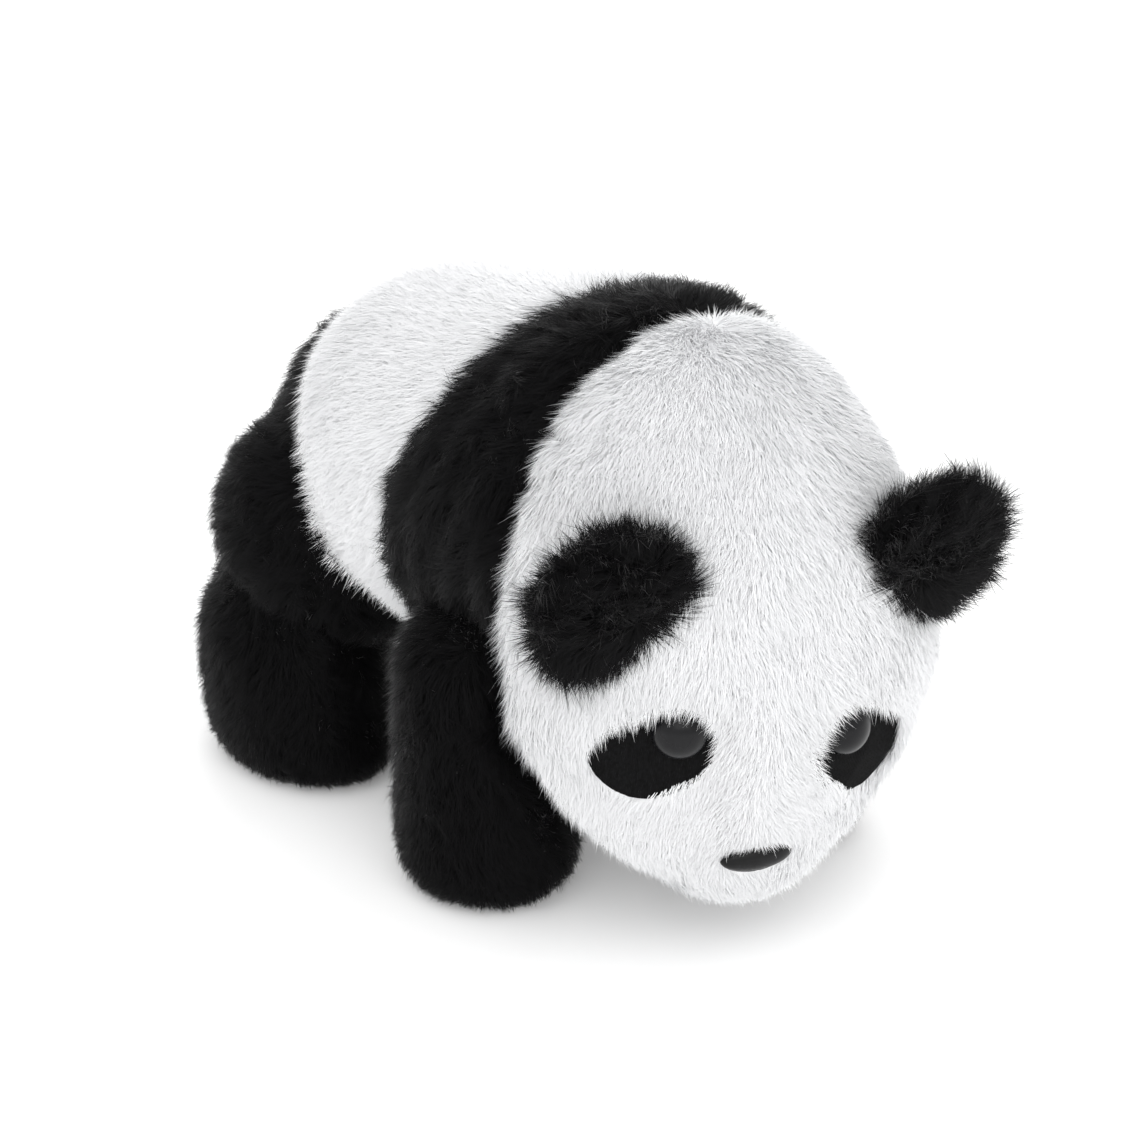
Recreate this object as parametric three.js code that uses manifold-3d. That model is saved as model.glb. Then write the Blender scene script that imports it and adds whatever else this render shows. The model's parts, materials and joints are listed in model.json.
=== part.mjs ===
// A standing plush panda: fur-fabric skins sewn over polyester stuffing, with plastic eyes and nose.
// Millimetres, +Z up. The panda faces -Y, its left side is +X, and it stands on Z = 0.
import * as THREE from "three";
import { mergeVertices } from "three/addons/utils/BufferGeometryUtils.js";
import Module from "manifold-3d";

const wasm = await Module();
wasm.setup();

// ---- Driving dimensions ----
const SKIN = 4; // fur fabric: knitted backing with its pile pressed flat
const GAP = 0.4; // clearance between pieces that touch
const JOINT_GAP = 0.7; // clearance between pieces that move against each other
const SOLE = 3; // thickness of a sole panel
const LEFT_STEP = -24; // the left forepaw stands this far ahead of the right one
const FELT = 1.4; // thickness of an eye patch
const BIG = 400; // side of a block that reaches past the whole toy
const RAD = Math.PI / 180;

// Joint ranges in degrees, with each pivot in the toy's frame.
const NECK = { pivot: [0, -62, 130], axis: [1, 0, 0], range: [-8, 8] };
const HIP_SWING = [-10, 10];

// The head's own frame: its origin is the middle of the skull, its -Y runs to the muzzle.
const HEAD_CENTRE = [-4, -104, 120];
const HEAD_YAW = -14;
const HEAD_PITCH = 60;

// Sections of each stuffed form: [y, z of the centre, half width, half height].
const TORSO = [
  [-112, 132, 0, 0],
  [-102, 132, 44, 43],
  [-86, 132, 61, 60],
  [-62, 131, 68, 69],
  [-30, 126, 69, 68],
  [8, 120, 67, 65],
  [44, 116, 65, 64],
  [76, 112, 58, 58],
  [100, 108, 37, 41],
  [110, 106, 0, 0],
];
const SKULL = [
  [-97, -16, 0, 0],
  [-90, -16, 24, 19],
  [-76, -14, 41, 31],
  [-58, -11, 60, 43],
  [-36, -7, 69, 52],
  [-10, -3, 71, 57],
  [16, -3, 65, 57],
  [42, -4, 55, 53],
  [66, -5, 41, 43],
  [82, -6, 0, 0],
];
const MUZZLE = [
  [-103, -20, 0, 0],
  [-98, -20, 18, 14],
  [-86, -19, 28, 23],
  [-66, -16, 34, 31],
  [-40, -12, 36, 36],
  [-8, -8, 0, 0],
];
// The haunch is a rounded bulge on each side of the rump.
const HAUNCH = { centre: [44, 66, 84], half: [38, 44, 46] };
// Legs, from the sole up: [z, y of the centre, half width, half length].
const FORELEG = { x: 52, y: -48, pivotZ: 76 };
const FORELEG_SECTIONS = [
  [-9, -2, 0, 0],
  [-3, -2, 22, 23],
  [12, -2, 30, 31],
  [34, 0, 28, 28],
  [60, 2, 27, 27],
  [86, 4, 25, 25],
  [100, 4, 0, 0],
];
const HINDLEG = { x: 57, y: 68, pivotZ: 72 };
const HINDLEG_SECTIONS = [
  [-9, -3, 0, 0],
  [-3, -3, 24, 33],
  [12, -3, 32, 43],
  [34, 0, 32, 41],
  [60, 2, 30, 38],
  [84, 4, 27, 33],
  [98, 4, 0, 0],
];
const TAIL = { centre: [0, 113, 118], half: [13, 13, 16], pivot: [0, 106, 122], range: [-20, 25] };

// Places on the head, in its own frame: [x, y] of a spot, found by dropping straight onto the fur.
// They were sewn by hand, so the two sides aren't quite alike.
const EYE_SPOTS = { right: [-32, -51], left: [22.5, -58.5] };
const PATCH_SPOTS = { right: [-39, -54], left: [28.5, -64] };
const EAR_SPOTS = { right: [-40, -18], left: [39.5, -16.5] };
const PATCH = { halfLong: 20, halfShort: 16, along: [0.76, -0.05, -0.64], facing: [0.51, -0.55, 0.655] };
const EYE = { radius: 8.5, rise: 6.5, facing: [0.42, -0.5, 0.76] };
const EAR = {
  radius: 23.5,
  halfThickness: 5,
  lift: 14, // from the seam to the middle of the disc
  up: [0.62, 0.6, 0.5],
  across: [0.61, -0.54, -0.57],
  range: [-25, 35],
};
const NOSE = { x: -4, z: 1, width: 22, height: 13, depth: 2.5, facing: [0, -0.95, 0.31] };
const SHANK = { radius: 2.2, length: 15, bore: 2.6 };
const WASHER = { radius: 7, thickness: 1.8 };

// ---- Materials ----
const finish = (color, roughness) => new THREE.MeshStandardMaterial({ color, roughness, metalness: 0 });
const WHITE_FUR = finish(0xf2f2f2, 0.9);
const BLACK_FUR = finish(0x1c1b1d, 0.85);
const FELT_BLACK = finish(0x101012, 0.95);
const GLOSS_BLACK = finish(0x0c0c0f, 0.15);
const WASHER_PLASTIC = finish(0xe8e6e0, 0.5);
const FIBRE = finish(0xf7f7f4, 1);

// ---- Solids ----
// Turns a closed three.js geometry into a manifold solid.
function solid(geometry) {
  const bare = new THREE.BufferGeometry();
  bare.setAttribute("position", geometry.getAttribute("position"));
  if (geometry.index) bare.setIndex(geometry.index);
  const merged = mergeVertices(bare, 1e-4);
  const corners = [];
  const index = merged.index.array;
  for (let i = 0; i < index.length; i += 3) {
    const [a, b, c] = [index[i], index[i + 1], index[i + 2]];
    if (a !== b && b !== c && c !== a) corners.push(a, b, c);
  }
  const mesh = new wasm.Mesh({
    numProp: 3,
    vertProperties: merged.getAttribute("position").array,
    triVerts: new Uint32Array(corners),
  });
  return new wasm.Manifold(mesh);
}

// Turns a manifold solid back into a three.js geometry.
function geometryOf(body) {
  const { vertProperties, triVerts, numProp } = body.getMesh();
  const points = new Float32Array((vertProperties.length / numProp) * 3);
  for (let i = 0; i < points.length / 3; i++) {
    for (let k = 0; k < 3; k++) points[3 * i + k] = vertProperties[numProp * i + k];
  }
  const geometry = new THREE.BufferGeometry();
  geometry.setAttribute("position", new THREE.BufferAttribute(points, 3));
  geometry.setIndex(new THREE.BufferAttribute(new Uint32Array(triVerts), 1));
  geometry.computeVertexNormals();
  return geometry;
}

// The same solid after a 4x4 matrix.
function moved(body, matrix) {
  return solid(geometryOf(body).applyMatrix4(matrix));
}

function joined(bodies) {
  return bodies.reduce((sum, body) => sum.add(body));
}

// A form of elliptic sections along Y. Radii are interpolated as squares, which rounds both ends.
// grow makes it larger all round, or smaller where negative.
function form(sections, grow = 0, around = 22, rings = 11) {
  const places = new THREE.CatmullRomCurve3(sections.map(([y, z]) => new THREE.Vector3(0, y, z)));
  const squared = sections.map(([, , w, h]) => new THREE.Vector3(w * w, h * h, 0));
  const squares = new THREE.CatmullRomCurve3(squared);
  const widest = Math.max(...sections.map(([, , w]) => w));
  const tallest = Math.max(...sections.map(([, , , h]) => h));
  const first = sections[0][0];
  const last = sections[sections.length - 1][0];
  const middle = (first + last) / 2;
  const stretch = 1 + grow / ((last - first) / 2);
  const stations = [];
  for (let i = 0; i <= rings; i++) {
    const t = 0.5 - 0.5 * Math.cos((Math.PI * i) / rings);
    const place = places.getPoint(t);
    const square = squares.getPoint(t);
    const isEnd = i === 0 || i === rings;
    const halfWidth = isEnd ? 0 : Math.sqrt(Math.max(square.x, 1)) * (1 + grow / widest);
    const halfHeight = isEnd ? 0 : Math.sqrt(Math.max(square.y, 1)) * (1 + grow / tallest);
    stations.push({ y: middle + (place.y - middle) * stretch, z: place.z, halfWidth, halfHeight });
  }
  const profile = stations.map(({ y, halfWidth }) => new THREE.Vector2(halfWidth, y));
  const lathe = new THREE.LatheGeometry(profile, around);
  const position = lathe.getAttribute("position");
  for (let i = 0; i < position.count; i++) {
    const { z, halfWidth, halfHeight } = stations[i % stations.length];
    const squash = halfWidth > 0 ? halfHeight / halfWidth : 1;
    position.setZ(i, z + position.getZ(i) * squash);
  }
  return lathe;
}

function ellipsoid(centre, half, grow = 0, around = 16, rings = 10) {
  return new THREE.SphereGeometry(1, around, rings)
    .scale(half[0] + grow, half[1] + grow, half[2] + grow)
    .translate(...centre);
}

// A block that fills one side of a plane: the side that the normal points to.
function beyond(point, normal) {
  const turn = new THREE.Quaternion().setFromUnitVectors(
    new THREE.Vector3(0, 0, 1),
    new THREE.Vector3(...normal).normalize(),
  );
  return solid(
    new THREE.BoxGeometry(BIG, BIG, BIG)
      .translate(0, 0, BIG / 2)
      .applyQuaternion(turn)
      .translate(...point),
  );
}

// A side-view outline of [y, z] points, smoothed and extruded across the toy from x = from to x = to.
function sideBlock(outline, from, to) {
  const shape = new THREE.Shape(outline.map(([y, z]) => new THREE.Vector2(y, z)));
  const flat = new THREE.ExtrudeGeometry(shape, { depth: to - from, bevelEnabled: false });
  // The shape's x, y and depth become the toy's Y, Z and X.
  const axes = new THREE.Matrix4().makeBasis(
    new THREE.Vector3(0, 1, 0),
    new THREE.Vector3(0, 0, 1),
    new THREE.Vector3(1, 0, 0),
  );
  return solid(flat.applyMatrix4(axes).translate(from, 0, 0));
}

// The turn by some degrees about an axis through a pivot.
function swing(pivot, axis, degrees) {
  const back = new THREE.Matrix4().makeTranslation(...pivot);
  const turn = new THREE.Matrix4().makeRotationAxis(new THREE.Vector3(...axis).normalize(), degrees * RAD);
  const there = new THREE.Matrix4().makeTranslation(-pivot[0], -pivot[1], -pivot[2]);
  return back.multiply(turn).multiply(there);
}

// What a fixed neighbour covers, seen from a piece that swings through its whole range beside it.
function sweptNeighbour(neighbour, pivot, axis, [low, high]) {
  const steps = Math.ceil((high - low) / 10);
  const turns = [];
  for (let i = 0; i <= steps; i++) turns.push(low + ((high - low) * i) / steps);
  return joined(turns.map((degrees) => moved(neighbour, swing(pivot, axis, -degrees))));
}

// ---- Torso ----
const mirrored = ([x, y, z], side) => [x * side, y, z];

function torsoForm(grow) {
  const haunch = (side) => solid(ellipsoid(mirrored(HAUNCH.centre, side), HAUNCH.half, grow));
  return joined([solid(form(TORSO, grow)), haunch(-1), haunch(1)]);
}

// Rear edge of the shoulder band and front edge of the haunch, seen from the side, from the top down.
const BAND_EDGE = [
  [-62, 205],
  [-46, 190],
  [-32, 162],
  [-16, 132],
  [-7, 104],
  [-4, 76],
  [-6, 40],
];
const HAUNCH_EDGE = [
  [98, 186],
  [82, 162],
  [60, 140],
  [44, 118],
  [34, 98],
  [24, 82],
  [12, 66],
  [4, 48],
  [0, 20],
];
const RUMP_STRIP = 15; // half width of the white strip between the haunches

function bandBlock(grow) {
  const edge = BAND_EDGE.map(([y, z]) => [y + grow, z]);
  return sideBlock([...edge, [-BIG / 2, 40], [-BIG / 2, 205]], -BIG / 2, BIG / 2);
}

function haunchBlock(side, grow) {
  const edge = HAUNCH_EDGE.map(([y, z]) => [y - grow, z]);
  const inner = RUMP_STRIP - grow;
  const [from, to] = side > 0 ? [inner, BIG / 2] : [-BIG / 2, -inner];
  return sideBlock([...[...edge].reverse(), [BIG / 2, 186], [BIG / 2, 20]].reverse(), from, to);
}

// ---- Legs ----
// A leg form stands upright: its sections run up from the sole.
function legForm(sections, x, y, grow) {
  const upright = new THREE.Matrix4().makeRotationX(Math.PI / 2);
  const sideways = sections.map(([z, offset, w, l]) => [z, -offset, w, l]);
  return solid(form(sideways, grow, 16, 8).applyMatrix4(upright).translate(x, y, 0));
}

// ---- Head ----
const headFrame = new THREE.Matrix4()
  .makeTranslation(...HEAD_CENTRE)
  .multiply(new THREE.Matrix4().makeRotationZ(HEAD_YAW * RAD))
  .multiply(new THREE.Matrix4().makeRotationX(HEAD_PITCH * RAD));
const headFrameBack = headFrame.clone().invert();

function headForm(grow) {
  return joined([solid(form(SKULL, grow)), solid(form(MUZZLE, grow, 18, 8))]);
}

// ---- Assembly ----
const panda = new THREE.Group();

function add(parent, name, body, material) {
  const mesh = new THREE.Mesh(geometryOf(body.simplify(GAP / 4)), material);
  mesh.name = name;
  parent.add(mesh);
  return mesh;
}

const torsoOuter = torsoForm(0);
const torsoInner = torsoForm(-SKIN);
const torsoShell = torsoOuter.subtract(torsoInner);
const torsoCover = torsoForm(JOINT_GAP);

const legs = [];
for (const side of [-1, 1]) {
  const hand = side < 0 ? "right" : "left";
  const foreleg = { ...FORELEG, x: side * FORELEG.x, sections: FORELEG_SECTIONS };
  if (side > 0) foreleg.y += LEFT_STEP;
  legs.push({ name: `foreleg_${hand}`, ...foreleg });
  legs.push({ name: `hindleg_${hand}`, ...HINDLEG, x: side * HINDLEG.x, sections: HINDLEG_SECTIONS });
}

// The head's outside with its clearance, and everywhere that it reaches as it nods.
const headCover = moved(headForm(JOINT_GAP), headFrame);
const headReach = sweptNeighbour(headCover, NECK.pivot, NECK.axis, NECK.range);

const ground = beyond([0, 0, 0], [0, 0, -1]);
const legOpenings = [];
for (const leg of legs) {
  const pivot = [leg.x, leg.y, leg.pivotZ];
  const underTorso = sweptNeighbour(torsoCover, pivot, [1, 0, 0], HIP_SWING);
  const behindHead = sweptNeighbour(headReach, pivot, [1, 0, 0], HIP_SWING);
  const relief = joined([underTorso, behindHead]);
  const outer = legForm(leg.sections, leg.x, leg.y, 0);
  const inner = legForm(leg.sections, leg.x, leg.y, -SKIN);
  const core = legForm(leg.sections, leg.x, leg.y, -SKIN - GAP);
  legOpenings.push(inner);
  const aboveSole = beyond([0, 0, SOLE + GAP], [0, 0, -1]);
  const lowSlab = beyond([0, 0, SOLE], [0, 0, 1]);
  const tube = outer.subtract(inner).subtract(beyond([0, 0, GAP], [0, 0, -1])).subtract(relief);
  add(panda, `${leg.name}_skin`, tube, BLACK_FUR);
  add(panda, `${leg.name}_sole`, core.subtract(ground).subtract(lowSlab), BLACK_FUR);
  add(panda, `${leg.name}_stuffing`, core.subtract(aboveSole).subtract(relief), FIBRE);
}

const openShell = torsoShell.subtract(joined(legOpenings));
const neckOpening = beyond([0, -86, 130], [0, -1, 0]);
const wrap = openShell.subtract(neckOpening);
add(panda, "shoulder_band_skin", wrap.intersect(bandBlock(0)), BLACK_FUR);
for (const side of [-1, 1]) {
  const hand = side < 0 ? "right" : "left";
  add(panda, `haunch_skin_${hand}`, wrap.intersect(haunchBlock(side, 0)), BLACK_FUR);
}
const coloured = joined([bandBlock(GAP), haunchBlock(-1, GAP), haunchBlock(1, GAP)]);
add(panda, "saddle_skin", wrap.subtract(coloured), WHITE_FUR);
add(panda, "torso_stuffing", torsoForm(-SKIN - GAP), FIBRE);

// ---- Head: skin and stuffing, and everything sewn or pressed onto it ----
const head = new THREE.Group();
head.applyMatrix4(headFrame);
panda.add(head);

const headSkinSurface = geometryOf(headForm(0));
const neckRelief = sweptNeighbour(torsoCover, NECK.pivot, NECK.axis, NECK.range);
const behindSeam = beyond([0, -88, 130], [0, 1, 0]);
const headCut = moved(joined([neckRelief, behindSeam]), headFrameBack);
let headSkin = headForm(0).subtract(headForm(-SKIN)).subtract(headCut);
let headCore = headForm(-SKIN - GAP).subtract(headCut);
const onFur = headForm(GAP);
const underFur = headForm(-SKIN - GAP);

// Where a straight line from outside first meets the head.
function spotOnHead(from, towards) {
  const surface = new THREE.Mesh(headSkinSurface, new THREE.MeshBasicMaterial());
  const ray = new THREE.Raycaster(new THREE.Vector3(...from), new THREE.Vector3(...towards));
  return ray.intersectObject(surface)[0].point.toArray();
}

// The frame of a fitting: its +Z points out of the fur along facing, its +X lies along the given direction.
function fittingFrame(point, facing, along) {
  const out = new THREE.Vector3(...facing).normalize();
  const third = new THREE.Vector3().crossVectors(out, new THREE.Vector3(...along)).normalize();
  const first = new THREE.Vector3().crossVectors(third, out);
  return new THREE.Matrix4().makeBasis(first, third, out).setPosition(...point);
}

function disc(radius, from, to, around = 24) {
  const height = to - from;
  return new THREE.CylinderGeometry(radius, radius, height, around)
    .rotateX(Math.PI / 2)
    .translate(0, 0, from + height / 2);
}

// A safety fitting is a face with a shank that passes through the skin into a washer on the inside.
function addFitting(name, face, frame, material) {
  const place = (geometry) => solid(geometry.applyMatrix4(frame));
  const washerTop = -SKIN - 2 * GAP;
  const washerFoot = washerTop - WASHER.thickness;
  const shank = place(disc(SHANK.radius, -SHANK.length, 4, 12));
  const bore = place(disc(SHANK.bore, -BIG, BIG, 12));
  const pocket = place(disc(WASHER.radius + GAP, -SHANK.length - GAP, 0));
  const washer = place(disc(WASHER.radius, washerFoot - 1, washerTop - 1)).subtract(bore);
  headSkin = headSkin.subtract(place(disc(SHANK.bore, -SHANK.length, 20, 12)));
  headCore = headCore.subtract(pocket);
  headSkin = headSkin.subtract(place(disc(WASHER.radius + GAP, -SHANK.length, washerTop - 1 + GAP)));
  add(head, name, joined([face, shank]), material);
  add(head, `${name}_washer`, washer, WASHER_PLASTIC);
}

for (const [hand, side] of [["right", -1], ["left", 1]]) {
  // The felt patch follows the curve of the face.
  const patchPoint = spotOnHead([...PATCH_SPOTS[hand], 200], [0, 0, -1]);
  const patchFrame = fittingFrame(patchPoint, mirrored(PATCH.facing, side), mirrored(PATCH.along, side));
  const oval = disc(1, -20, 20, 32).scale(PATCH.halfLong, PATCH.halfShort, 1).applyMatrix4(patchFrame);
  const eyePoint = spotOnHead([...EYE_SPOTS[hand], 200], [0, 0, -1]);
  const eyeFrame = fittingFrame(eyePoint, mirrored(EYE.facing, side), [1, 0, 0]);
  const shankHole = solid(disc(SHANK.bore, -SHANK.length, 20, 12).applyMatrix4(eyeFrame));
  const felt = headForm(GAP + FELT).subtract(onFur).intersect(solid(oval)).subtract(shankHole);
  add(head, `eye_patch_${hand}`, felt, FELT_BLACK);

  // The eye's dome is hollowed underneath to sit on the curved felt.
  const seat = headForm(GAP + FELT + GAP);
  const dome = solid(ellipsoid([0, 0, 0], [EYE.radius, EYE.radius, EYE.rise + 2]).applyMatrix4(eyeFrame));
  addFitting(`eye_${hand}`, dome.subtract(seat), eyeFrame, GLOSS_BLACK);
}

// ---- Nose: a rounded triangle, wide at the top, with a small notch at its foot ----
const nosePoint = spotOnHead([NOSE.x, -200, NOSE.z], [0, 1, 0]);
const noseFrame = fittingFrame(nosePoint, NOSE.facing, [1, 0, 0]);
const noseOutline = new THREE.Shape();
const [noseX, noseTop, noseFoot] = [NOSE.width / 2 - 1.5, NOSE.height * 0.4, -NOSE.height * 0.5];
noseOutline.moveTo(0, noseTop);
noseOutline.bezierCurveTo(noseX * 0.6, noseTop + 0.8, noseX, noseTop, noseX, noseTop - 3);
noseOutline.bezierCurveTo(noseX, -1, noseX * 0.5, noseFoot, 1.6, noseFoot);
noseOutline.lineTo(0, noseFoot + 1.2);
noseOutline.lineTo(-1.6, noseFoot);
noseOutline.bezierCurveTo(-noseX * 0.5, noseFoot, -noseX, -1, -noseX, noseTop - 3);
noseOutline.bezierCurveTo(-noseX, noseTop, -noseX * 0.6, noseTop + 0.8, 0, noseTop);
const nosePlate = new THREE.ExtrudeGeometry(noseOutline, {
  depth: NOSE.depth,
  bevelThickness: 2,
  bevelSize: 1.5,
  bevelSegments: 3,
  curveSegments: 6,
});
const noseFace = solid(nosePlate.translate(0, 0, -2).applyMatrix4(noseFrame)).subtract(onFur);
addFitting("nose", noseFace, noseFrame, GLOSS_BLACK);

// ---- Ears: a front and a back disc sewn round their rim, and into the head along a straight seam ----
const earNeighbour = headForm(JOINT_GAP);
for (const [hand, side] of [["right", -1], ["left", 1]]) {
  const seam = new THREE.Vector3(...spotOnHead([...EAR_SPOTS[hand], 200], [0, 0, -1]));
  // A turn about the seam's own direction by a positive angle folds the ear forwards.
  const fold = new THREE.Vector3(...mirrored(EAR.across, side)).normalize().multiplyScalar(side);
  const up = new THREE.Vector3(...mirrored(EAR.up, side));
  up.addScaledVector(fold, -up.dot(fold)).normalize();
  const facing = new THREE.Vector3().crossVectors(fold, up);
  const backing = facing.clone().negate();
  const earFrame = new THREE.Matrix4().makeBasis(fold, backing, up).setPosition(seam);
  const half = [EAR.radius, EAR.halfThickness, EAR.radius];
  const whole = solid(ellipsoid([0, 0, EAR.lift], half, 0, 20, 14).applyMatrix4(earFrame));
  const relief = sweptNeighbour(earNeighbour, seam.toArray(), fold.toArray(), EAR.range);
  const clear = whole.subtract(relief);
  const frontHalf = beyond(seam.clone().addScaledVector(facing, GAP / 2).toArray(), facing.toArray());
  const backHalf = beyond(seam.clone().addScaledVector(backing, GAP / 2).toArray(), backing.toArray());
  add(head, `ear_front_${hand}`, clear.intersect(frontHalf), BLACK_FUR);
  add(head, `ear_back_${hand}`, clear.intersect(backHalf), BLACK_FUR);
}

add(head, "head_skin", headSkin, WHITE_FUR);
add(head, "head_stuffing", headCore, FIBRE);

// ---- Tail ----
const tailRelief = sweptNeighbour(torsoCover, TAIL.pivot, [1, 0, 0], TAIL.range);
const tailSolid = (grow) => solid(ellipsoid(TAIL.centre, TAIL.half, grow, 18, 12)).subtract(tailRelief);
add(panda, "tail_skin", tailSolid(0).subtract(solid(ellipsoid(TAIL.centre, TAIL.half, -SKIN))), WHITE_FUR);
add(panda, "tail_stuffing", tailSolid(-SKIN - GAP), FIBRE);

// The middle of the toy's bounding box stands over the origin.
const box = new THREE.Box3().setFromObject(panda, true);
panda.position.set(-(box.min.x + box.max.x) / 2, -(box.min.y + box.max.y) / 2, 0);

export default panda;
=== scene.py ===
"""A standing plush panda in long fur fabric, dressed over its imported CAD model."""

import json
import math

import bpy
import numpy as np
from mathutils import Matrix, Vector
from mathutils.bvhtree import BVHTree
from mathutils.kdtree import KDTree


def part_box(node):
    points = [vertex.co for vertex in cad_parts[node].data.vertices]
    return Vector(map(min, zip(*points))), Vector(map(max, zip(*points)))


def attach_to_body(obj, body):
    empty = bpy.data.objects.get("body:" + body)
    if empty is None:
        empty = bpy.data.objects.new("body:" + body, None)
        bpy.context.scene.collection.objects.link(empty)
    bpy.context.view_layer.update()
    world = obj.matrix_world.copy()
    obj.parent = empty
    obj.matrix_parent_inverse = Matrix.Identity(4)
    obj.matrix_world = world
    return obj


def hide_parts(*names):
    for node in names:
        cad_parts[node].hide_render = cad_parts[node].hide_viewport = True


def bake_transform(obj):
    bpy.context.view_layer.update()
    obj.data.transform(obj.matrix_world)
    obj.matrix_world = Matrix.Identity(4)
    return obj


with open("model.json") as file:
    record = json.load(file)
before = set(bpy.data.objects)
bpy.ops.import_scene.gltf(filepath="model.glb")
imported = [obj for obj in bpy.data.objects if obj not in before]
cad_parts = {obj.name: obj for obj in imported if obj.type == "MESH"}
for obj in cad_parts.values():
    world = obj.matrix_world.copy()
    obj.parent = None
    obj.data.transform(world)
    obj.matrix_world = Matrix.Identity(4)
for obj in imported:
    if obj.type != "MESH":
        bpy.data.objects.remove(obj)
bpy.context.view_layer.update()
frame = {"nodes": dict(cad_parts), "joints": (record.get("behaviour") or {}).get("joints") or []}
nodes = frame["nodes"]
rng = np.random.default_rng(7)

# ---- Sizes in metres ----
PILE_ROOT = 0.0008  # the backing lies this far inside the CAD skin
BACKING = 0.0012  # thickness of the knitted backing
WHITE_PILE = 0.0085
BLACK_PILE = 0.0095
EAR_PILE = 0.0105
COVER_VOXEL = 0.0045  # the panels of a cover are joined at this fineness
SWELL = 0.0022  # the furthest that stuffing may push the fabric out
PRESSURE = 4  # of the stuffing on the fabric while the cover swells
PUFF_FRAMES = 15  # how long that lasts
SEAM_DEPTH = 0.002  # a seam is drawn in this far
SEAM_WIDTH = 0.007
FILLING_GAP = 0.0055  # between the stuffing's own surface and its CAD one
CREASE_SPACING = 0.016  # between the creases of the shoulder band
CREASE_DEPTH = 0.0013
STRAND = 0.00022  # width of a strand at its root
DENSITY = 2.6e6  # strands per square metre
MOST_STRANDS = 60000  # in one mesh
TUFT = 24  # strands that lean together
FLOOR = 0.0004  # no strand reaches below this height
EYE_RADIUS = 0.0085
NOSE_WIDTH = 0.024
NOSE_HEIGHT = 0.0135
HEAD_YAW = math.radians(-14)
HEAD_PITCH = math.radians(60)

# The head's own directions: across to the toy's left, back to the neck, and up off the forehead.
HEAD_TURN = Matrix.Rotation(HEAD_YAW, 3, "Z") @ Matrix.Rotation(HEAD_PITCH, 3, "X")
HEAD_LEFT, HEAD_BACK, HEAD_UP = (np.array(HEAD_TURN.col[i]) for i in range(3))


# ---- Camera ----
def add_camera(target, azimuth, elevation, distance, lens):
    camera = bpy.data.objects.new("camera", bpy.data.cameras.new("camera"))
    bpy.context.collection.objects.link(camera)
    turn = Matrix.Rotation(azimuth, 4, "Z") @ Matrix.Rotation(math.pi / 2 - elevation, 4, "X")
    camera.matrix_world = Matrix.Translation(target) @ turn @ Matrix.Translation((0, 0, distance))
    camera.data.lens = lens
    camera.data.sensor_width = 36
    camera.data.clip_start = 0.01
    bpy.context.scene.camera = camera


add_camera((-0.0112, -0.013, 0.0985), math.radians(-35), math.radians(23), 0.8, 76.8)


# ---- Mesh helpers ----
def mesh_object(name, vertices, faces):
    mesh = bpy.data.meshes.new(name)
    mesh.from_pydata([tuple(v) for v in vertices], [], [tuple(int(i) for i in f) for f in faces])
    mesh.update()
    obj = bpy.data.objects.new(name, mesh)
    bpy.context.collection.objects.link(obj)
    return obj


def joined_nodes(name, node_names):
    """One mesh holding copies of several CAD nodes."""
    vertices = []
    faces = []
    for node in node_names:
        mesh = nodes[node].data
        start = len(vertices)
        vertices += [v.co.copy() for v in mesh.vertices]
        faces += [[i + start for i in p.vertices] for p in mesh.polygons]
    return mesh_object(name, vertices, faces)


def applied(obj):
    """Applies the object's modifiers to its mesh."""
    graph = bpy.context.evaluated_depsgraph_get()
    mesh = bpy.data.meshes.new_from_object(obj.evaluated_get(graph))
    obj.modifiers.clear()
    obj.data = mesh
    return obj


def remeshed(obj, voxel, smoothing):
    remesh = obj.modifiers.new("remesh", "REMESH")
    remesh.mode = "VOXEL"
    remesh.voxel_size = voxel
    smooth = obj.modifiers.new("smooth", "SMOOTH")
    smooth.factor = 0.5
    smooth.iterations = smoothing
    return applied(obj)


def arrays(mesh):
    """Vertex places, vertex normals and triangle corners as numpy arrays."""
    count = len(mesh.vertices)
    places = np.empty(count * 3)
    mesh.vertices.foreach_get("co", places)
    normals = np.array([n.vector[:] for n in mesh.vertex_normals])
    mesh.calc_loop_triangles()
    corners = np.empty(len(mesh.loop_triangles) * 3, dtype=np.int32)
    mesh.loop_triangles.foreach_get("vertices", corners)
    return places.reshape(-1, 3), normals, corners.reshape(-1, 3)


def move_vertices(obj, places):
    obj.data.vertices.foreach_set("co", places.ravel())
    obj.data.update()


def shade_smooth(obj):
    obj.data.polygons.foreach_set("use_smooth", np.ones(len(obj.data.polygons), bool))


def falloff(distance, width):
    """A bell that is 1 at no distance and fades out over the width."""
    return np.exp(-((distance / width) ** 2))


def unit(vectors):
    return vectors / np.maximum(np.linalg.norm(vectors, axis=-1, keepdims=True), 1e-9)


def tree_of(node_names):
    obj = joined_nodes("probe", node_names)
    tree = BVHTree.FromObject(obj, bpy.context.evaluated_depsgraph_get())
    bpy.data.objects.remove(obj)
    return tree


def pivot_of(joint_name):
    return np.array(next(joint for joint in frame["joints"] if joint["name"] == joint_name)["pos_m"])


def middle_of(node):
    low, high = (np.array(corner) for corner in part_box(node))
    return (low + high) / 2


def distances(tree, points, reach=1.0):
    """How far each point is from a surface, or reach where it is further."""
    found = (tree.find_nearest(Vector(p), reach)[3] for p in points)
    return np.array([reach if d is None else d for d in found])


# ---- Materials ----
def material(name, build):
    made = bpy.data.materials.new(name)
    made.use_nodes = True
    tree = made.node_tree
    shader = tree.nodes["Principled BSDF"]
    build(tree, shader)
    return made


def add_node(tree, kind, **settings):
    node = tree.nodes.new(kind)
    for key, value in settings.items():
        if key in node.inputs:
            node.inputs[key].default_value = value
        else:
            setattr(node, key, value)
    return node


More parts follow.
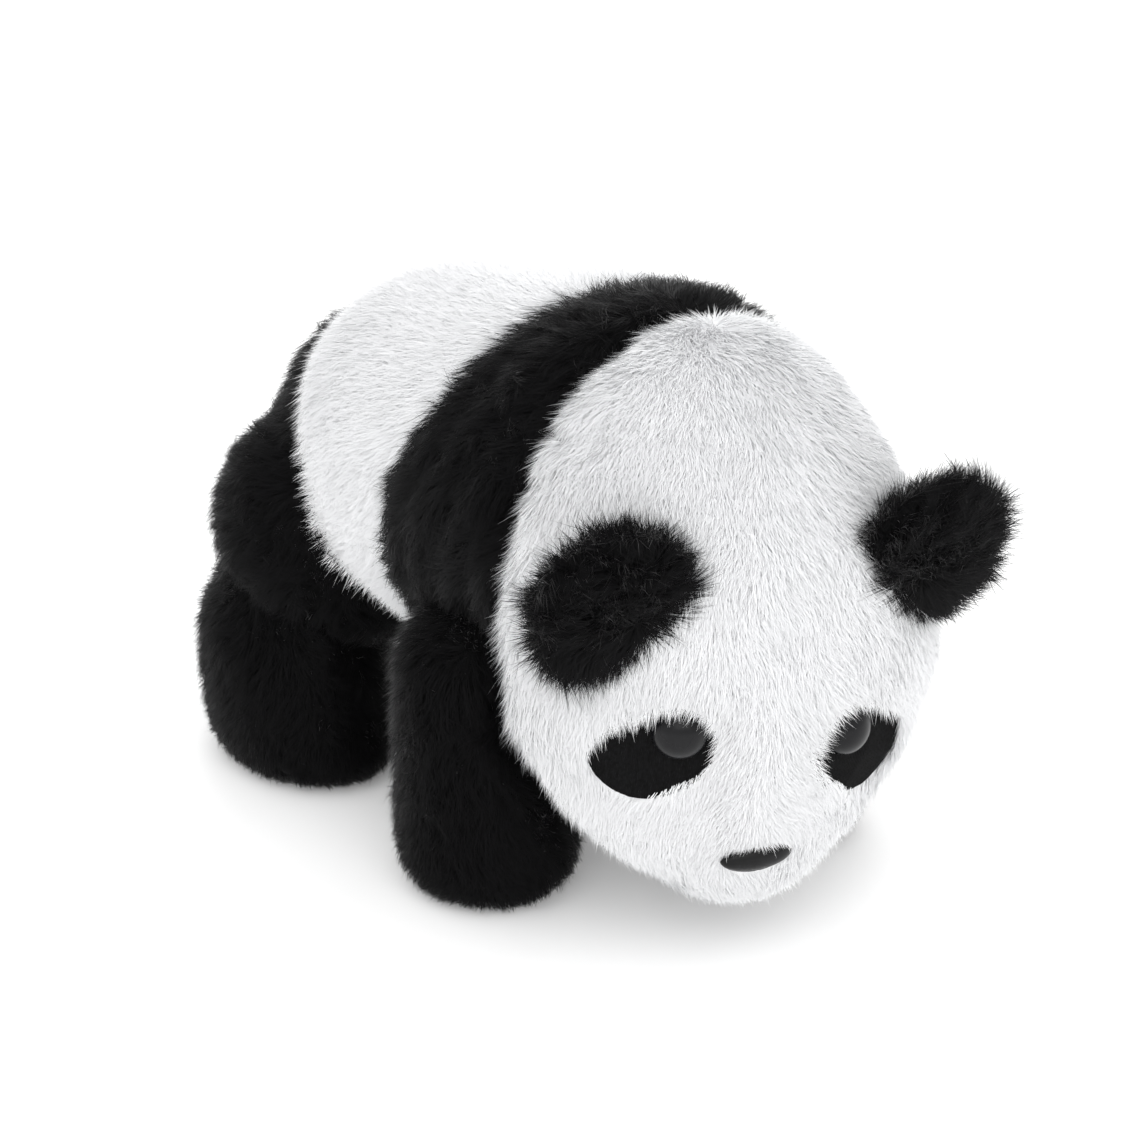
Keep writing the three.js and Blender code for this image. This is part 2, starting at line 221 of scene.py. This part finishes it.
def ramp(tree, stops):
    node = tree.nodes.new("ShaderNodeValToRGB")
    elements = node.color_ramp.elements
    while len(elements) < len(stops):
        elements.new(0.5)
    for element, (place, colour) in zip(elements, stops):
        element.position = place
        element.color = (*colour, 1)
    return node


def fur_material(name, root, tip, spread, roughness, specular, sheen):
    """Strand colour runs from root to tip along V, darker at the root as painted shade deep in the pile, and
    each strand has its own random tone along U.
    """

    def build(tree, shader):
        uv = add_node(tree, "ShaderNodeUVMap", uv_map="OFBake")
        parts = add_node(tree, "ShaderNodeSeparateXYZ")
        tree.links.new(uv.outputs["UV"], parts.inputs[0])
        # The root end of this ramp is darker than the tip: painted shade deep in the pile.
        along = ramp(tree, [(0.0, root), (0.45, [0.5 * (a + b) for a, b in zip(root, tip)]), (1.0, tip)])
        tree.links.new(parts.outputs["Y"], along.inputs[0])
        noise = add_node(tree, "ShaderNodeTexNoise", noise_dimensions="1D", Scale=40.0, Detail=1.0)
        tree.links.new(parts.outputs["X"], noise.inputs["W"])
        shade = add_node(tree, "ShaderNodeMapRange")
        shade.inputs["From Min"].default_value = 0.3
        shade.inputs["From Max"].default_value = 0.7
        shade.inputs["To Min"].default_value = 1 - spread
        shade.inputs["To Max"].default_value = 1 + spread
        tree.links.new(noise.outputs[0], shade.inputs["Value"])
        scale = add_node(tree, "ShaderNodeVectorMath", operation="SCALE")
        tree.links.new(along.outputs["Color"], scale.inputs[0])
        tree.links.new(shade.outputs[0], scale.inputs["Scale"])
        tree.links.new(scale.outputs[0], shader.inputs["Base Color"])
        shader.inputs["Roughness"].default_value = roughness
        shader.inputs["Specular IOR Level"].default_value = specular
        shader.inputs["Sheen Weight"].default_value = sheen
        shader.inputs["Sheen Roughness"].default_value = 0.4

    return material(name, build)


def backing_material(name, dark, light):
    """Knitted backing: fine courses of loops with a mottled colour."""

    def build(tree, shader):
        place = add_node(tree, "ShaderNodeTexCoord")
        noise = add_node(tree, "ShaderNodeTexNoise", Scale=900.0, Detail=3.0)
        tree.links.new(place.outputs["Object"], noise.inputs["Vector"])
        mottle = ramp(tree, [(0.3, dark), (0.7, light)])
        tree.links.new(noise.outputs[0], mottle.inputs[0])
        tree.links.new(mottle.outputs["Color"], shader.inputs["Base Color"])
        wave = add_node(tree, "ShaderNodeTexWave", Scale=450.0, Distortion=3.0)
        tree.links.new(place.outputs["Object"], wave.inputs["Vector"])
        bump = add_node(tree, "ShaderNodeBump", Strength=0.5, Distance=0.0004)
        tree.links.new(wave.outputs["Fac"], bump.inputs["Height"])
        tree.links.new(bump.outputs[0], shader.inputs["Normal"])
        shader.inputs["Roughness"].default_value = 0.95
        shader.inputs["Specular IOR Level"].default_value = 0.1

    return material(name, build)


def plastic_material(name, dark, light, roughness, specular):
    """Moulded plastic with a faint mottle and fine surface grain."""

    def build(tree, shader):
        place = add_node(tree, "ShaderNodeTexCoord")
        noise = add_node(tree, "ShaderNodeTexNoise", Scale=160.0, Detail=2.0)
        tree.links.new(place.outputs["Object"], noise.inputs["Vector"])
        mottle = ramp(tree, [(0.3, dark), (0.7, light)])
        tree.links.new(noise.outputs[0], mottle.inputs[0])
        tree.links.new(mottle.outputs["Color"], shader.inputs["Base Color"])
        bump = add_node(tree, "ShaderNodeBump", Strength=0.04, Distance=0.0001)
        tree.links.new(noise.outputs[0], bump.inputs["Height"])
        tree.links.new(bump.outputs[0], shader.inputs["Normal"])
        shader.inputs["Roughness"].default_value = roughness
        shader.inputs["Specular IOR Level"].default_value = specular

    return material(name, build)


# Each fur's root colour is darker than its tip colour: painted shade deep in the pile.
WHITE_FUR = fur_material("white_fur", (0.92, 0.925, 0.935), (0.935, 0.94, 0.95), 0.012, 0.9, 0.1, 0.0)
BLACK_FUR = fur_material(
    "black_fur", (0.0005, 0.0005, 0.0007), (0.0044, 0.0042, 0.0048), 0.5, 0.45, 0.06, 0.22
)
WHITE_BACKING = backing_material("white_backing", (0.84, 0.84, 0.85), (0.93, 0.93, 0.94))
BLACK_BACKING = backing_material("black_backing", (0.003, 0.003, 0.0035), (0.007, 0.007, 0.007))
FELT = backing_material("black_felt", (0.0022, 0.0022, 0.0022), (0.0065, 0.0065, 0.007))
FIBRE = backing_material("fibre", (0.8, 0.8, 0.77), (0.93, 0.93, 0.9))
EYE_PLASTIC = plastic_material("eye_plastic", (0.004, 0.004, 0.005), (0.008, 0.008, 0.009), 0.25, 0.22)
NOSE_PLASTIC = plastic_material("nose_plastic", (0.004, 0.004, 0.004), (0.009, 0.009, 0.01), 0.35, 0.2)
WASHER_PLASTIC = plastic_material("washer_plastic", (0.7, 0.69, 0.66), (0.8, 0.79, 0.76), 0.45, 0.5)


# ---- Covers: the fabric under the pile ----
def puffed(obj):
    """Lets the stuffing's pressure swell the fabric for a moment, as cloth."""
    start, _, _ = arrays(obj.data)
    cloth = obj.modifiers.new("cloth", "CLOTH")
    cloth.settings.use_pressure = True
    cloth.settings.uniform_pressure_force = PRESSURE
    cloth.settings.effector_weights.gravity = 0
    cloth.settings.quality = 4
    cloth.collision_settings.use_collision = False
    for step in range(1, PUFF_FRAMES + 1):
        bpy.context.scene.frame_set(step)
    applied(obj)
    bpy.context.scene.frame_set(1)
    swollen, _, _ = arrays(obj.data)
    push = swollen - start
    far = np.linalg.norm(push, axis=1, keepdims=True)
    push *= np.minimum(1, SWELL / np.maximum(far, 1e-9))
    move_vertices(obj, start + push)


def cover(name, node_names, seam_trees=()):
    """The swollen fabric inside the outside of some CAD nodes, drawn in along its seams."""
    obj = remeshed(joined_nodes(name, node_names), COVER_VOXEL, 5)
    puffed(obj)
    divide = obj.modifiers.new("divide", "SUBSURF")
    divide.levels = 1
    applied(obj)
    places, normals, _ = arrays(obj.data)
    # Remeshing draws the form in a little, which is given back here.
    shrunk = np.median(distances(tree_of(node_names), places[::7]))
    sink = np.full(len(places), PILE_ROOT - shrunk)
    if seam_trees:
        reach = np.sort(np.array([distances(tree, places) for tree in seam_trees]), axis=0)
        sink += SEAM_DEPTH * falloff(reach[1] - reach[0], SEAM_WIDTH)
    move_vertices(obj, places - normals * sink[:, None])
    return obj


def add_filling(node, body, torso=None):
    """The stuffing: the CAD block rounded off, lumpy, and clear of the fabric round it."""
    filling = remeshed(joined_nodes(f"{node}_fibre", [node]), 0.004, 6)
    places, normals, _ = arrays(filling.data)
    lumps = waves(places, 160, 2)[:, :1] * 0.0008
    places -= normals * (FILLING_GAP + lumps)
    if torso:
        places = drawn_onto(places, torso, 0.006, 0.022, 0.002)
    move_vertices(filling, places)
    shade_smooth(filling)
    filling.data.materials.append(FIBRE)
    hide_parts(node)
    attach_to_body(filling, body)


def finish_backing(obj, finish):
    obj.data.materials.append(finish)
    shade_smooth(obj)


def shell_of(name, obj, keep, finish):
    """The faces of a cover that keep picks, as a sheet with the backing's thickness."""
    places, _, corners = arrays(obj.data)
    faces = corners[keep]
    used, packed = np.unique(faces, return_inverse=True)
    piece = mesh_object(name, places[used], packed.reshape(-1, 3))
    shade_smooth(piece)
    solidify = piece.modifiers.new("thickness", "SOLIDIFY")
    solidify.thickness = BACKING
    solidify.offset = -1
    applied(piece)
    piece.data.materials.append(finish)
    return piece


# ---- Pile ----
def scatter(obj, density, keep=None):
    """Random root places over a mesh, with the surface normals there."""
    places, normals, corners = arrays(obj.data)
    if keep is not None:
        corners = corners[keep]
    a, b, c = (places[corners[:, i]] for i in range(3))
    areas = 0.5 * np.linalg.norm(np.cross(b - a, c - a), axis=1)
    count = int(areas.sum() * density)
    face = rng.choice(len(corners), count, p=areas / areas.sum())
    u, v = rng.random((2, count))
    flip = u + v > 1
    u[flip], v[flip] = 1 - u[flip], 1 - v[flip]
    weights = np.stack([1 - u - v, u, v], axis=1)
    picked = corners[face]
    roots = (places[picked] * weights[:, :, None]).sum(1)
    ups = unit((normals[picked] * weights[:, :, None]).sum(1))
    return roots, ups


def tufts(roots, size):
    """For each root, the middle of the tuft it leans towards, and that tuft's number."""
    centres = roots[rng.choice(len(roots), max(1, len(roots) // size), replace=False)]
    tree = KDTree(len(centres))
    for i, centre in enumerate(centres):
        tree.insert(centre, i)
    tree.balance()
    nearest = np.array([tree.find(root)[1] for root in roots])
    return centres[nearest], nearest


def waves(points, scale, seed):
    """A smooth random vector field made of a few sine waves."""
    field_rng = np.random.default_rng(seed)
    total = np.zeros_like(points)
    for _ in range(6):
        direction = field_rng.normal(size=(3, 3)) * scale
        phase = field_rng.random(3) * 2 * math.pi
        total += np.sin(points @ direction + phase)
    return total / 3


def strands(name, roots, ups, flow, length, lift, clump, finish, attach, stray=0.1):
    """Fur as tapered blades, in meshes named after their panel; attach joins each one to its body.

    flow is the lie of the pile, lift how far it stands up, clump how far tips draw together, and stray
    how far each strand goes its own way."""
    count = len(roots)
    along = flow + 0.3 * waves(roots, 110, 3) + 0.15 * waves(roots, 420, 5)
    along = unit(along - ups * (along * ups).sum(1, keepdims=True))
    middle, number = tufts(roots, TUFT)
    _, bundle = tufts(roots, TUFT * 14)
    clump = np.broadcast_to(clump, count)[:, None]
    lean = np.random.default_rng(11).normal(size=(number.max() + 1, 3))[number]
    lean += np.random.default_rng(12).normal(size=(bundle.max() + 1, 3))[bundle]
    lean = clump * (lean - ups * (lean * ups).sum(1, keepdims=True))
    own = rng.normal(size=(count, 3)) * stray
    size = (length * rng.uniform(1 - stray, 1.05, count))[:, None]
    rise = np.clip(lift + rng.normal(size=count) * 0.05, 0.1, 0.95)[:, None]
    rings = []
    for height in RING_HEIGHTS:
        shift = ups * rise * height * (1 - 0.32 * height)
        shift += along * ((1 - rise) * height + 0.42 * rise * height * height)
        shift += (lean + own) * height * height
        rings.append(roots + shift * size + (middle - roots) * clump * height**1.5)
    for ring in rings[1:]:
        ring[:, 2] = np.maximum(ring[:, 2], FLOOR)
    heading = unit(rings[1] - rings[0])
    side = unit(np.cross(heading, ups))
    third = unit(np.cross(side, heading))
    twist = rng.uniform(-0.9, 0.9, count)[:, None]
    side = side * np.cos(twist) + third * np.sin(twist)
    points = np.stack(
        [
            rings[0] - side * STRAND / 2,
            rings[0] + side * STRAND / 2,
            rings[1] - side * STRAND * 0.42,
            rings[1] + side * STRAND * 0.42,
            rings[2],
        ],
        axis=1,
    )
    face = unit(np.cross(side, heading))
    face *= np.sign((face * ups).sum(1, keepdims=True))
    shading = np.repeat(unit(ups + face * (0.1 + clump))[:, None], 5, axis=1)
    parts = math.ceil(count / MOST_STRANDS)
    for part in range(parts):
        chosen = slice(part, None, parts)
        label = name if parts == 1 else f"{name}_{part + 1}"
        fur = strand_mesh(label, points[chosen], shading[chosen], finish)
        attach(fur)


def riding(body):
    return lambda piece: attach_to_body(piece, body)


RING_HEIGHTS = (0.0, 0.52, 1.0)
BLADE_CORNERS = np.array([0, 1, 3, 2, 2, 3, 4], dtype=np.int32)
BLADE_STARTS = np.array([0, 4], dtype=np.int32)


def strand_mesh(name, points, shading, finish):
    """The blades as one mesh, with their UV layer and soft normals."""
    count = len(points)
    mesh = bpy.data.meshes.new(name)
    mesh.vertices.add(count * 5)
    mesh.vertices.foreach_set("co", points.astype(np.float32).ravel())
    mesh.loops.add(count * 7)
    offsets = np.arange(count, dtype=np.int32)[:, None]
    loop_points = (offsets * 5 + BLADE_CORNERS).ravel()
    mesh.loops.foreach_set("vertex_index", loop_points)
    mesh.polygons.add(count * 2)
    mesh.polygons.foreach_set("loop_start", (offsets * 7 + BLADE_STARTS).ravel())
    mesh.polygons.foreach_set("use_smooth", np.ones(count * 2, bool))
    mesh.update(calc_edges=True)
    normals = mesh.attributes.new("custom_normal", "FLOAT_VECTOR", "POINT")
    normals.data.foreach_set("vector", shading.astype(np.float32).ravel())
    layer = mesh.uv_layers.new(name="OFBake")
    shade = np.repeat(rng.random(count)[:, None], 5, axis=1) * 0.98 + 0.008
    nudge = np.array([0, 1, 0, 1, 0.5]) * 0.004
    heights = np.array([RING_HEIGHTS[0]] * 2 + [RING_HEIGHTS[1]] * 2 + [RING_HEIGHTS[2]])
    uv = np.stack([shade + nudge, np.broadcast_to(heights, shade.shape) * 0.98 + 0.01], axis=2)
    layer.data.foreach_set("uv", uv.reshape(-1, 2)[loop_points].astype(np.float32).ravel())
    obj = bpy.data.objects.new(name, mesh)
    bpy.context.collection.objects.link(obj)
    mesh.materials.append(finish)
    return obj


# ---- Torso ----
def dress_torso():
    """Four panels of one swollen cover, each with its own pile. Returns the cover."""
    panels = ["saddle_skin", "shoulder_band_skin", "haunch_skin_right", "haunch_skin_left"]
    trees = [tree_of([panel]) for panel in panels]
    body = cover("torso_cover", panels + ["torso_stuffing"], seam_trees=trees)
    places, normals, corners = arrays(body.data)
    # The wide shoulder band is creased lengthwise, where it was gathered round the neck.
    across = distances(trees[0], places) / CREASE_SPACING
    in_band = distances(trees[1], places) < 0.003
    crease = falloff(across - np.round(across), 0.22) * (across > 0.5)
    places -= normals * (crease * in_band * CREASE_DEPTH)[:, None]
    move_vertices(body, places)
    centres = places[corners].mean(1)
    panel_of = np.argmin(np.array([distances(tree, centres) for tree in trees]), axis=0)
    for i, panel in enumerate(panels):
        keep = panel_of == i
        is_white = panel == "saddle_skin"
        fabric = shell_of(f"{panel}_backing", body, keep, WHITE_BACKING if is_white else BLACK_BACKING)
        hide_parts(panel)
        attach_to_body(fabric, "torso")
        roots, ups = scatter(body, DENSITY * (1.4 if is_white else 1), keep)
        roots += rng.normal(size=roots.shape) * 0.0006
        flow = np.tile([0.0, 0.55, -0.85], (len(roots), 1))
        length = np.full(len(roots), WHITE_PILE if is_white else BLACK_PILE)
        finish = WHITE_FUR if is_white else BLACK_FUR
        lift, clump, stray = (0.54, 0.02, 0.17) if is_white else (0.55, 0.28, 0.12)
        strands(f"{panel}_pile", roots, ups, flow, length, lift, clump, finish, riding("torso"), stray)
    add_filling("torso_stuffing", "torso")
    return body


# ---- Head ----
EYES = (("right", 1), ("left", -1))  # each eye, and which way along the head's left the nose lies from it


def dress_head():
    fittings = ["eye_patch_right", "eye_patch_left", "nose"]
    nose = middle_of("nose")
    body = cover("head_skin_backing", ["head_skin", "head_stuffing"])
    places, normals, _ = arrays(body.data)
    # The face is pulled in beside each eye, where its shank is drawn tight.
    for hand, inward in EYES:
        eye = middle_of(f"eye_{hand}")
        pinch = eye + HEAD_LEFT * inward * 0.009 - HEAD_UP * 0.004
        near = falloff(np.linalg.norm(places - pinch, axis=1), 0.012)
        places -= normals * (0.003 * near)[:, None]
    # The muzzle is stuffed fuller on both sides of the nose, but not under the felt or the nose.
    trees = [tree_of([node]) for node in fittings]
    clear = 1 - falloff(np.min([distances(tree, places, 0.05) for tree in trees], axis=0), 0.01)
    for side in (-1, 1):
        pad = nose + HEAD_LEFT * side * 0.024 + HEAD_BACK * 0.014 - HEAD_UP * 0.014
        near = falloff(np.linalg.norm(places - pad, axis=1), 0.02)
        places += normals * (0.0045 * clear * near)[:, None]
    # Behind the right ear the head is stuffed fuller.
    full = places.mean(0) + HEAD_BACK * 0.045 - HEAD_LEFT * 0.045 + HEAD_UP * 0.02
    near = falloff(np.linalg.norm(places - full, axis=1), 0.035)
    places += normals * (0.0055 * near)[:, None]
    move_vertices(body, places)
    finish_backing(body, WHITE_BACKING)
    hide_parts("head_skin")
    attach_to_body(body, "head")
    places, _, corners = arrays(body.data)
    centres = places[corners].mean(1)
    face = np.min([distances(tree, centres) for tree in trees], axis=0) < 0.012
    # The pile is denser round the felt, the eyes and the nose, where its edges show.
    roots, ups = (np.vstack(pair) for pair in zip(scatter(body, DENSITY * 1.4), scatter(body, DENSITY, face)))
    bare = np.zeros(len(roots), bool)
    for fitting, tree in zip(fittings, trees):
        outward = unit(roots - middle_of(fitting))
        # Pile grows from under the edge all round, and further in beside the muzzle.
        inset = 0.0016
        if fitting != "nose":
            inset += 0.0055 * np.clip(outward @ unit(nose - middle_of(fitting)), 0, 1)[:, None] ** 2
        bare |= distances(tree, roots + outward * inset, 0.03) < 0.0015
    for hand, _ in EYES:
        bare |= distances(tree_of([f"eye_{hand}"]), roots, 0.03) < 0.0055
    roots, ups = roots[~bare], ups[~bare]
    # The pile runs away from the crown: down to the muzzle, out to the cheeks and back to the neck.
    crown = roots.mean(0) + HEAD_UP * 0.035 + HEAD_BACK * 0.115
    flow = unit(roots - crown)
    # It parts along the bridge and lies outwards over the inner edges of the felt.
    bridge = (nose + middle_of("eye_right") + middle_of("eye_left")) / 3
    parting = np.tanh((roots - nose) @ HEAD_LEFT / 0.01)
    parting *= 1.1 * falloff(np.linalg.norm(roots - bridge, axis=1), 0.028)
    flow = unit(flow + parting[:, None] * HEAD_LEFT)
    from_nose = np.linalg.norm(roots - nose, axis=1)
    length = WHITE_PILE * (0.7 + 0.3 * np.clip((from_nose - 0.01) / 0.05, 0, 1))
    # It is longest round the jaw.
    jaw = np.clip(-ups @ HEAD_UP, 0, 1)
    length *= 1 + 0.45 * jaw
    # Near felt and plastic it clumps less. It stands up where it meets an edge, and lies flat where it
    # leaves one.
    calm = np.ones(len(roots))
    lift = np.full(len(roots), 0.45)
    for fitting, tree in zip(fittings, trees):
        near = falloff(distances(tree, roots, 0.05), 0.007)
        towards = (flow * unit(middle_of(fitting) - roots)).sum(1)
        lift += 0.22 * near * np.clip(1.5 * towards, -1, 1)
        calm -= near
    calm = np.clip(calm, 0, 1)
    for hand, inward in EYES:
        brow = middle_of(f"eye_{hand}") + HEAD_BACK * 0.011 + HEAD_LEFT * inward * 0.007
        near = falloff(np.linalg.norm(roots - brow, axis=1), 0.013)
        length *= 1 + 0.3 * near
    clump = 0.01 + 0.02 * calm
    strands("head_skin_pile", roots, ups, flow, length, lift, clump, WHITE_FUR, riding("head"), stray=0.15)
    add_filling("head_stuffing", "head")


# ---- Legs ----
def drawn_onto(places, surface, near, far, inset=0.0005):
    """Draws what lies close to a surface to just inside it: wholly where near, and less up to far."""
    landed = []
    pulls = []
    for place in places:
        spot, normal, _, distance = surface.find_nearest(Vector(place))
        landed.append(np.array(spot) - np.array(normal) * inset)
        pulls.append(min(1, max(0, (far - distance) / (far - near))))
    pull = np.array(pulls)
    pull = pull * pull * (3 - 2 * pull)
    return places + (np.array(landed) - places) * pull[:, None]


def dress_leg(leg, torso):
    """A leg's cover runs up to the torso and is sewn to it, so its top stays with the torso."""
    skin = f"{leg}_skin"
    body = cover(f"{skin}_backing", [skin, f"{leg}_sole", f"{leg}_stuffing"])
    places, _, _ = arrays(body.data)
    places = drawn_onto(places, torso, 0.005, 0.02)
    places[:, 2] = np.maximum(places[:, 2], 0.0008)
    move_vertices(body, places)
    finish_backing(body, BLACK_BACKING)

    def attach(piece):
        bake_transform(piece)

    roots, ups = scatter(body, DENSITY)
    sewn = distances(torso, roots, 0.03) < 0.0012
    roots, ups = roots[~sewn], ups[~sewn]
    outward = roots - middle_of(skin)
    outward[:, 2] = 0
    # On the paw the pile is shorter and points outwards. Higher up it hangs down the leg.
    height = np.clip((roots[:, 2] - 0.004) / 0.03, 0, 1)[:, None]
    flow = unit(outward) * (1 - height) * 0.5 + np.array([0, 0.1, -1.0]) * (0.4 + 0.6 * height)
    length = BLACK_PILE * (0.55 + 0.45 * height[:, 0])
    strands(f"{skin}_pile", roots, ups, flow, length, 0.58, 0.22, BLACK_FUR, attach, stray=0.14)
    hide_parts(skin)
    attach(body)
    add_filling(f"{leg}_stuffing", leg, torso)


# ---- Ears ----
def dress_ear(hand):
    front, back = f"ear_front_{hand}", f"ear_back_{hand}"
    body = remeshed(joined_nodes(f"ear_{hand}_backing", [front, back]), 0.0014, 6)
    finish_backing(body, BLACK_BACKING)
    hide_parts(front, back)
    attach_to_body(body, f"ear_{hand}")
    roots, ups = scatter(body, DENSITY * 2)
    pivot = pivot_of(f"ear_{hand}_fold")
    flow = unit(roots - pivot - (roots.mean(0) - pivot) * 0.45)
    length = np.full(len(roots), EAR_PILE)
    attach = riding(f"ear_{hand}")
    strands(f"ear_{hand}_pile", roots, ups, flow, length, 0.55, 0.25, BLACK_FUR, attach, stray=0.16)


# ---- Tail ----
def dress_tail():
    body = remeshed(joined_nodes("tail_skin_backing", ["tail_skin", "tail_stuffing"]), 0.002, 6)
    places, normals, _ = arrays(body.data)
    move_vertices(body, places - normals * PILE_ROOT)
    finish_backing(body, WHITE_BACKING)
    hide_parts("tail_skin")
    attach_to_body(body, "tail")
    roots, ups = scatter(body, DENSITY)
    flow = np.tile([0.0, 0.3, -1.0], (len(roots), 1))
    length = np.full(len(roots), WHITE_PILE)
    strands("tail_skin_pile", roots, ups, flow, length, 0.5, 0.12, WHITE_FUR, riding("tail"))
    add_filling("tail_stuffing", "tail")


# ---- Face ----
def axis_of(washer, face):
    """The middle of a washer, and the direction from it to the fitting's face."""
    places, _, _ = arrays(nodes[washer].data)
    middle = places.mean(0)
    _, _, directions = np.linalg.svd(places - middle)
    axis = directions[2]
    front, _, _ = arrays(nodes[face].data)
    return middle, axis * np.sign((front.mean(0) - middle) @ axis)


def moulding(name, node, outline, thickness, sink, raised, finish):
    """A domed plastic fitting on its shank, which replaces a CAD node.

    outline is its edge as [across, upwards] points. Its pole lies sink below the CAD one, and it sits
    raised towards the crown."""
    middle, axis = axis_of(f"{node}_washer", node)
    across = unit(HEAD_LEFT - axis * (HEAD_LEFT @ axis))
    upwards = np.cross(axis, across)
    places, _, _ = arrays(nodes[node].data)
    pole = ((places - middle) @ axis).max() - sink
    middle = middle + upwards * raised
    edge = outline @ np.stack([across, upwards])
    rings = 12
    vertices = [middle + axis * pole]
    for i in range(1, rings + 1):
        angle = math.pi / 2 * i / rings
        drop = thickness * (1 - math.cos(angle))
        vertices += list(middle + edge * math.sin(angle) + axis * (pole - drop))
    vertices += list(middle + edge * 0.9 + axis * (pole - thickness - 0.001))
    around = len(outline)
    faces = [(0, 1 + k, 1 + (k + 1) % around) for k in range(around)]
    for start in range(1, 1 + rings * around, around):
        for k in range(around):
            a, b = start + k, start + (k + 1) % around
            faces.append((a, a + around, b + around, b))
    last = 1 + rings * around
    faces.append(tuple(last + k for k in reversed(range(around))))
    piece = mesh_object(name, vertices, faces)
    shade_smooth(piece)
    piece.data.materials.append(finish)
    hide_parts(node)
    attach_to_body(piece, "head")


def eye_outline(radius, around=48):
    turns = np.linspace(0, 2 * math.pi, around, endpoint=False)
    return np.stack([np.cos(turns), np.sin(turns)], axis=1) * radius


def nose_outline(width, height, around=64):
    """A wide rounded triangle: nearly flat on top, with a small notch between two lobes below."""
    turns = np.linspace(0, 2 * math.pi, around, endpoint=False)
    x, y = np.cos(turns), np.sin(turns)
    lower = np.clip(-y, 0, 1)
    x = x * (1 - 0.22 * lower)
    y = np.where(y > 0, y * 0.75, y * 1.1) + 0.2 * lower * np.exp(-((x / 0.14) ** 2))
    return np.stack([x * width / 2, y * height / 2], axis=1)


def add_patch(hand):
    """Felt oval, thick enough to show a soft cut edge."""
    node = f"eye_patch_{hand}"
    patch = remeshed(joined_nodes(f"{node}_felt", [node]), 0.0006, 6)
    # The felt presses the pile under it flat.
    _, axis = axis_of(f"eye_{hand}_washer", f"eye_{hand}")
    places, _, _ = arrays(patch.data)
    move_vertices(patch, places - axis * 0.001)
    finish_backing(patch, FELT)
    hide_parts(node)
    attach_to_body(patch, "head")


# ---- What stays as CAD made it ----
def finish_node(node, finish):
    for slot in nodes[node].material_slots:
        slot.material = finish


# ---- Assembly ----
torso_cover = dress_torso()
torso_tree = BVHTree.FromObject(torso_cover, bpy.context.evaluated_depsgraph_get())
bpy.data.objects.remove(torso_cover)
dress_head()
for leg in ("foreleg_right", "foreleg_left", "hindleg_right", "hindleg_left"):
    dress_leg(leg, torso_tree)
for hand in ("right", "left"):
    dress_ear(hand)
    moulding(f"eye_{hand}_dome", f"eye_{hand}", eye_outline(EYE_RADIUS), 0.007, 0.0026, 0.0016, EYE_PLASTIC)
    add_patch(hand)
    finish_node(f"eye_{hand}_washer", WASHER_PLASTIC)
dress_tail()
moulding("nose_moulding", "nose", nose_outline(NOSE_WIDTH, NOSE_HEIGHT), 0.0045, 0.0, 0.0015, NOSE_PLASTIC)
finish_node("nose_washer", WASHER_PLASTIC)
for node in nodes:
    if node.endswith("_sole"):
        finish_node(node, BLACK_BACKING)


# ---- Floor and light ----
def add_floor():
    floor = mesh_object("floor", [(-20, -20, 0), (20, -20, 0), (20, 20, 0), (-20, 20, 0)], [(0, 1, 2, 3)])

    def build(tree, shader):
        shader.inputs["Base Color"].default_value = (0.95, 0.95, 0.95, 1)
        shader.inputs["Roughness"].default_value = 1.0
        shader.inputs["Emission Color"].default_value = (1, 1, 1, 1)
        shader.inputs["Emission Strength"].default_value = 0.15

    floor.data.materials.append(material("floor_paper", build))


def add_light(name, place, size, power):
    light = bpy.data.lights.new(name, "AREA")
    light.size = size
    light.energy = power
    obj = bpy.data.objects.new(name, light)
    bpy.context.collection.objects.link(obj)
    obj.location = place
    aim = Vector((0, 0, 0.1)) - Vector(place)
    obj.rotation_euler = aim.to_track_quat("-Z", "Y").to_euler()


def add_world():
    world = bpy.data.worlds.new("studio")
    world.use_nodes = True
    background = world.node_tree.nodes["Background"]
    background.inputs["Color"].default_value = (1, 1, 1, 1)
    background.inputs["Strength"].default_value = 1.05
    bpy.context.scene.world = world


add_floor()
add_light("key", (-0.6, -1.15, 1.35), 1.8, 13)
add_light("rim", (0.8, 1.3, 0.9), 1.2, 7)
add_world()
bpy.context.scene.view_settings.view_transform = "Standard"
